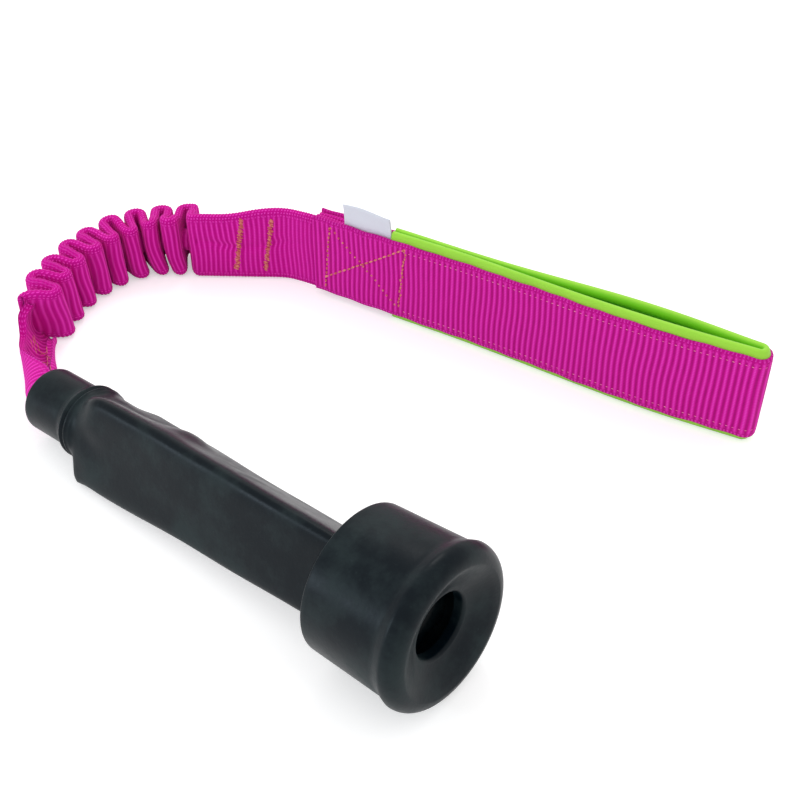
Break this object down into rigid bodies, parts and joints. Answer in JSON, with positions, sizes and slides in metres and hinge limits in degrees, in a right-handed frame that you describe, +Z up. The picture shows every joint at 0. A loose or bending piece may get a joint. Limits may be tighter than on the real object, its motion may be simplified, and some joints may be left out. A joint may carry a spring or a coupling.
{
  "type": "bungee tug toy",
  "caption": "Tug toy with a hollow rubber cup liner on a gathered bungee sleeve, which ends in a padded hand loop.",
  "frame": {"origin": "centre of the part's box at the height of the surface that it lies on", "axes": "+X along the hand loop from its stitched root to its tip, +Y from the liner towards the hand loop, +Z up from the surface"},
  "size_m": [0.3158, 0.2122, 0.06],
  "materials": {
    "magenta_webbing": "ribbed polyester webbing",
    "lime_padding": "smooth coated fabric over foam",
    "foam": "soft foam",
    "green_thread": "thread",
    "coral_thread": "thread",
    "white_label": "woven, bare",
    "bungee_rubber": "elastic cord",
    "black_rubber": "moulded, satin"
  },
  "bodies": {
    "handle": {"handle_webbing": "magenta_webbing", "padding_cover": "lime_padding", "padding_foam": "foam", "padding_seam_upper": "green_thread", "padding_seam_lower": "green_thread", "webbing_seam_upper": "magenta_webbing", "webbing_seam_lower": "magenta_webbing", "sleeve_tab": "magenta_webbing", "label": "white_label", "box_stitch_front": "coral_thread", "box_stitch_back": "coral_thread"},
    "strap": {"sleeve_strap": "magenta_webbing", "bungee_anchor": "bungee_rubber", "bar_tack_1_front": "coral_thread", "bar_tack_1_back": "coral_thread", "bar_tack_2_front": "coral_thread", "bar_tack_2_back": "coral_thread"},
    "gathers_1": {"sleeve_gathers_1": "magenta_webbing", "bungee_core_1": "bungee_rubber"},
    "gathers_2": {"sleeve_gathers_2": "magenta_webbing"},
    "gathers_3": {"sleeve_gathers_3": "magenta_webbing", "bungee_core_2": "bungee_rubber"},
    "gathers_4": {"sleeve_gathers_4": "magenta_webbing"},
    "twist": {"sleeve_twist": "magenta_webbing", "bungee_end": "bungee_rubber", "twist_tack": "coral_thread"},
    "liner": {"rubber_liner": "black_rubber", "sleeve_tail": "magenta_webbing", "tail_stitch": "coral_thread"}
  },
  "joints": [
    {"name": "strap_fold", "type": "hinge", "parent": "handle", "child": "strap", "pos_m": [-0.05782, 0.09793, 0], "axis": [0, 0, 1], "range_deg": [-90, 15]},
    {"name": "gather_entry", "type": "hinge", "parent": "strap", "child": "gathers_1", "pos_m": [-0.12835, 0.09208, 0], "axis": [0, 0, 1], "range_deg": [-45, 0]},
    {"name": "stretch_upper", "type": "slide", "parent": "gathers_1", "child": "gathers_2", "axis": [-0.6475, -0.7621, 0], "range_m": [0, 0.045], "stiffness_N_per_m": 1500, "deforming": ["bungee_core_1"]},
    {"name": "gather_middle", "type": "hinge", "parent": "gathers_2", "child": "gathers_3", "pos_m": [-0.15793, 0.0492, 0], "axis": [0, 0, 1], "range_deg": [-50, 0]},
    {"name": "stretch_lower", "type": "slide", "parent": "gathers_3", "child": "gathers_4", "axis": [0.2271, -0.9739, 0], "range_m": [0, 0.045], "stiffness_N_per_m": 1500, "deforming": ["bungee_core_2"]},
    {"name": "gather_end", "type": "hinge", "parent": "gathers_4", "child": "twist", "pos_m": [-0.14436, -0.00502, 0], "axis": [0, 0, 1], "range_deg": [-45, 0]},
    {"name": "liner_swing", "type": "hinge", "parent": "twist", "child": "liner", "pos_m": [-0.10001, -0.04117, 0.01451], "axis": [0, 0, 1], "range_deg": [-110, 20]}
  ],
  "couplings": [
    {"joint": "stretch_lower", "follows": "stretch_upper", "ratio": 1}
  ]
}
